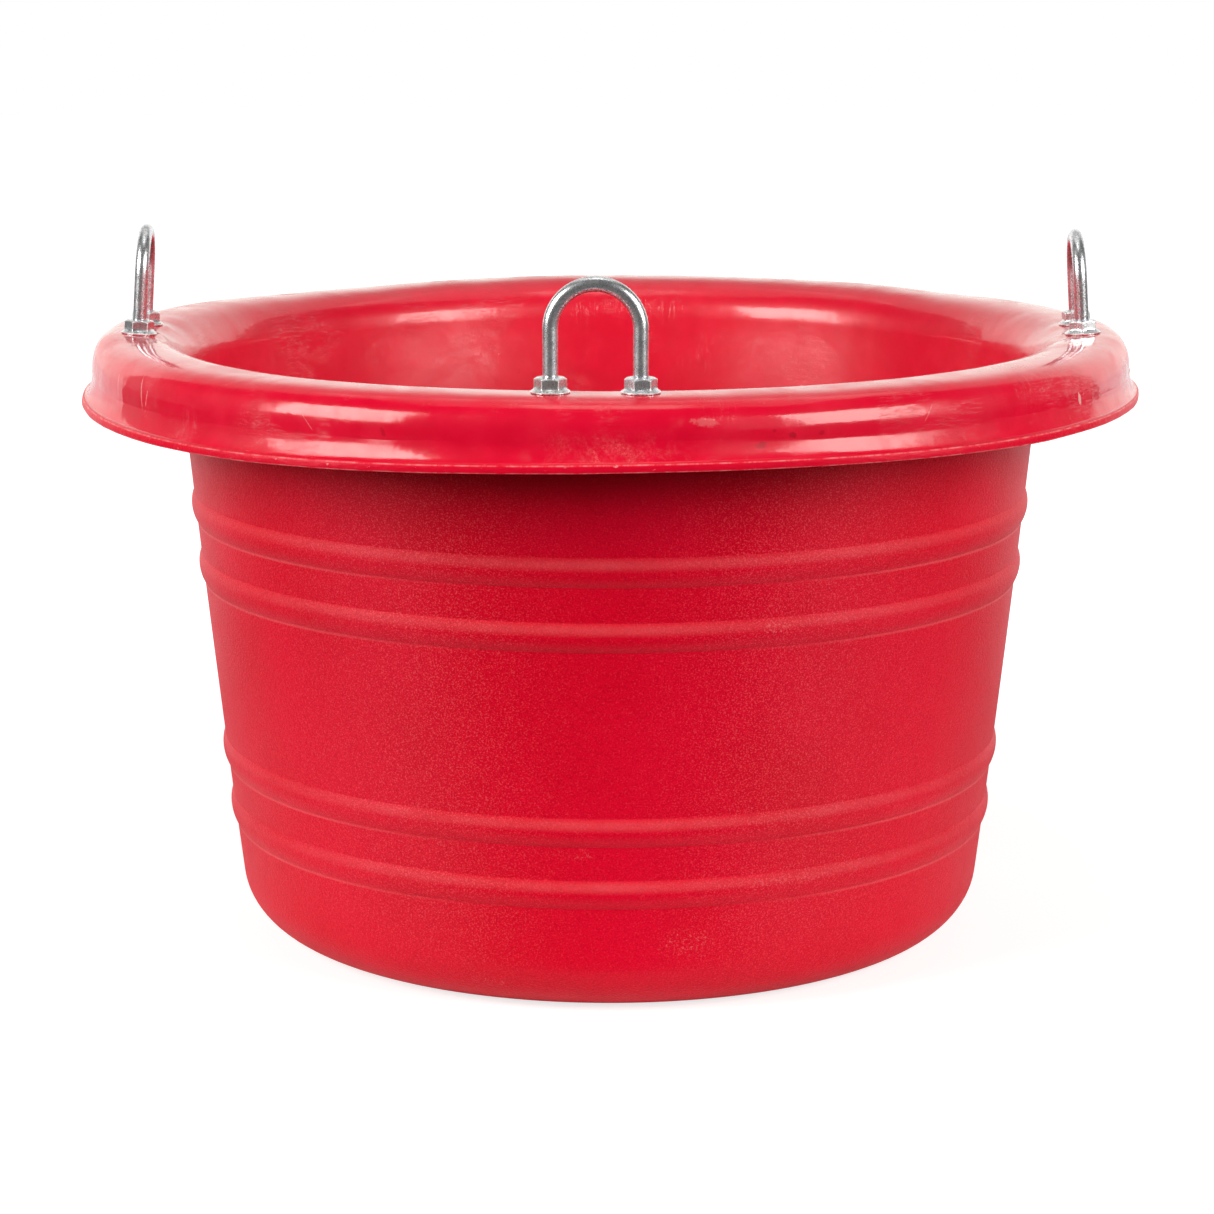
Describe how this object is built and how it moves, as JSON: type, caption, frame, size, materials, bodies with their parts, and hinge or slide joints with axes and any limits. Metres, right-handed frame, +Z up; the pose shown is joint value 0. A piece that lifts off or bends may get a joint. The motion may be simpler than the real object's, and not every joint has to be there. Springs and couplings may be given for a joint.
{
  "type": "feed bucket",
  "caption": "Round hanging feed tub with tapered hooped walls, a wide rolled rim, and bolted wire U-bolts on the rim to hang it from.",
  "frame": {"origin": "centre of the base, on the floor the tub stands on", "axes": "+Z up through the open mouth; -Y towards the front U-bolt, +X to the right of a person who faces that U-bolt"},
  "size_m": [0.457, 0.457, 0.3075],
  "materials": {
    "tub_plastic": "matt stippled outside, glossier rolled rim and inside",
    "zinc_steel": "bright zinc plate"
  },
  "bodies": {
    "root": {"tub": "tub_plastic", "front_ubolt": "zinc_steel", "front_upper_nut_left": "zinc_steel", "front_upper_nut_right": "zinc_steel", "front_lower_nut_left": "zinc_steel", "front_lower_nut_right": "zinc_steel", "right_ubolt": "zinc_steel", "right_upper_nut_front": "zinc_steel", "right_upper_nut_back": "zinc_steel", "right_lower_nut_front": "zinc_steel", "right_lower_nut_back": "zinc_steel", "left_ubolt": "zinc_steel", "left_upper_nut_front": "zinc_steel", "left_upper_nut_back": "zinc_steel", "left_lower_nut_front": "zinc_steel", "left_lower_nut_back": "zinc_steel"}
  },
  "joints": []
}
